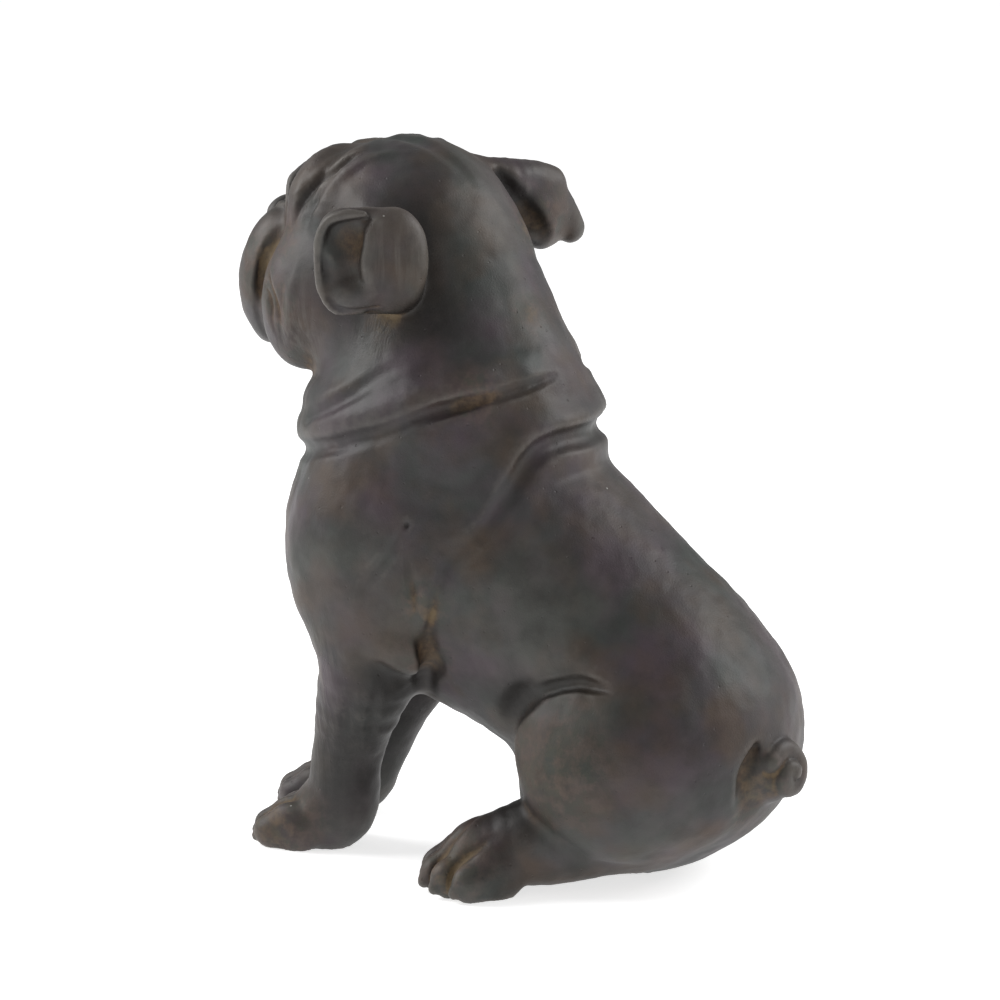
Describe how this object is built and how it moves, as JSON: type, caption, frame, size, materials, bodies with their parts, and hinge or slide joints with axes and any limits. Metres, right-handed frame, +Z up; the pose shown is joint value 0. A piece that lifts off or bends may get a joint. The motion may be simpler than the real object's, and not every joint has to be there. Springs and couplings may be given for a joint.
{
  "type": "dog statue",
  "caption": "Sitting bulldog puppy statue cast in one piece, head turned aside, resting on its paws and seat; garden or mantel ornament.",
  "frame": {"origin": "centre of the bounding box's footprint, on the floor plane under the soles and seat", "axes": "+Z up, the chest and toes face -Y, the puppy's left side is +X"},
  "size_m": [0.2392, 0.3674, 0.4199],
  "materials": {
    "cast_stone": "matt dark brown-grey patina on a cast composite, ochre in the creases"
  },
  "bodies": {
    "root": {"bulldog": "cast_stone"}
  },
  "joints": []
}
